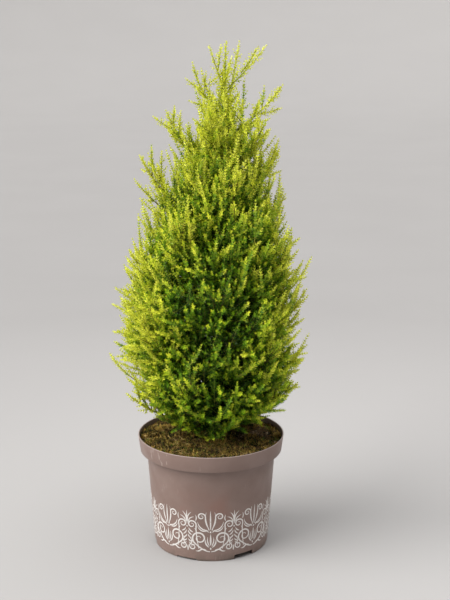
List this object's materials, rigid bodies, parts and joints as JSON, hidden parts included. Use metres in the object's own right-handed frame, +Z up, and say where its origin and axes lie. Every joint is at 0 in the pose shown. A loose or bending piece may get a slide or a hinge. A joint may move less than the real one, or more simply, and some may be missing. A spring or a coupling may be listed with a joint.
{
  "type": "potted lemon cypress",
  "caption": "Young lemon cypress with a dense upright crown of feathery yellow-green sprays, growing in a round tapered plastic nursery pot with a rim band.",
  "frame": {"origin": "centre of the pot's underside, on the pot's axis, in the flat that it stands on", "axes": "+Z up along the pot's axis, -Y towards the side that faces the camera in the picture, +X to the right seen from that side"},
  "size_m": [0.2506, 0.2433, 0.65],
  "materials": {
    "pot_plastic": "satin moulded",
    "compost": "rough",
    "bark": "rough",
    "needles": "matte"
  },
  "bodies": {
    "root": {"pot": "pot_plastic", "soil": "compost", "trunk": "bark", "bough_01": "bark", "bough_02": "bark", "bough_03": "bark", "bough_04": "bark", "bough_05": "bark", "bough_06": "bark", "bough_07": "bark", "bough_08": "bark", "bough_09": "bark", "bough_10": "bark", "bough_11": "bark", "bough_12": "bark", "bough_13": "bark", "bough_14": "bark", "bough_15": "bark", "bough_16": "bark", "bough_17": "bark", "bough_18": "bark", "bough_19": "bark", "bough_20": "bark", "bough_21": "bark", "bough_22": "bark", "bough_23": "bark", "foliage_01": "needles", "foliage_02": "needles", "foliage_03": "needles", "foliage_04": "needles", "foliage_05": "needles", "foliage_06": "needles", "foliage_07": "needles", "foliage_08": "needles", "foliage_09": "needles", "foliage_10": "needles", "foliage_11": "needles", "foliage_12": "needles", "foliage_13": "needles", "foliage_14": "needles", "foliage_15": "needles", "foliage_16": "needles", "foliage_17": "needles", "foliage_18": "needles", "foliage_19": "needles", "foliage_20": "needles", "foliage_21": "needles", "foliage_22": "needles", "foliage_23": "needles", "foliage_24": "needles", "foliage_25": "needles", "foliage_26": "needles", "foliage_27": "needles", "foliage_28": "needles", "foliage_29": "needles", "foliage_30": "needles", "foliage_31": "needles", "foliage_32": "needles", "foliage_top": "needles"}
  },
  "joints": []
}
